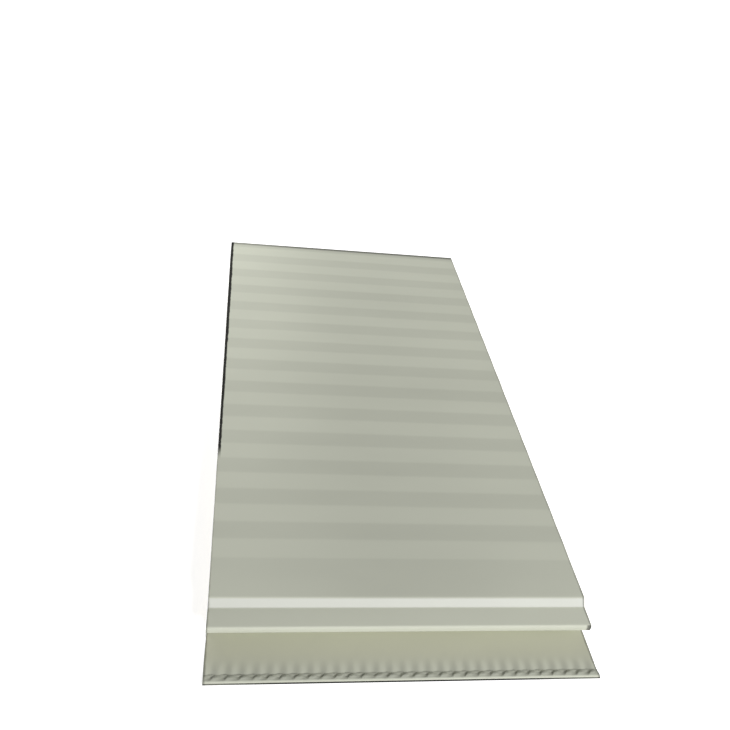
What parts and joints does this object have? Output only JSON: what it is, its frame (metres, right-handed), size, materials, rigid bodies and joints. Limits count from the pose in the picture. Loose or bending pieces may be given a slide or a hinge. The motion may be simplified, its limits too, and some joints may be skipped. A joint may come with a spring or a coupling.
{
  "type": "insulated metal siding panel",
  "caption": "Thin foam-filled wall panel sample with a waved painted steel face, tongue-and-groove edges and a crimped nailing flange.",
  "frame": {"origin": "middle of the sample on the plane of its back, which lies on the floor", "axes": "+X along the joints and the roll-forming direction, +Y across the cover width from the nailing flange to the grooved edge, +Z out of the painted face"},
  "size_m": [0.2, 0.4176, 0.016],
  "materials": {
    "painted_steel": "satin off-white coil coating",
    "rigid_foam": "fine closed-cell polyurethane foam, sawn ends",
    "foil": "satin foil with a faint crinkle"
  },
  "bodies": {
    "root": {"face_sheet": "painted_steel", "foam_core": "rigid_foam", "back_foil": "foil"}
  },
  "joints": []
}
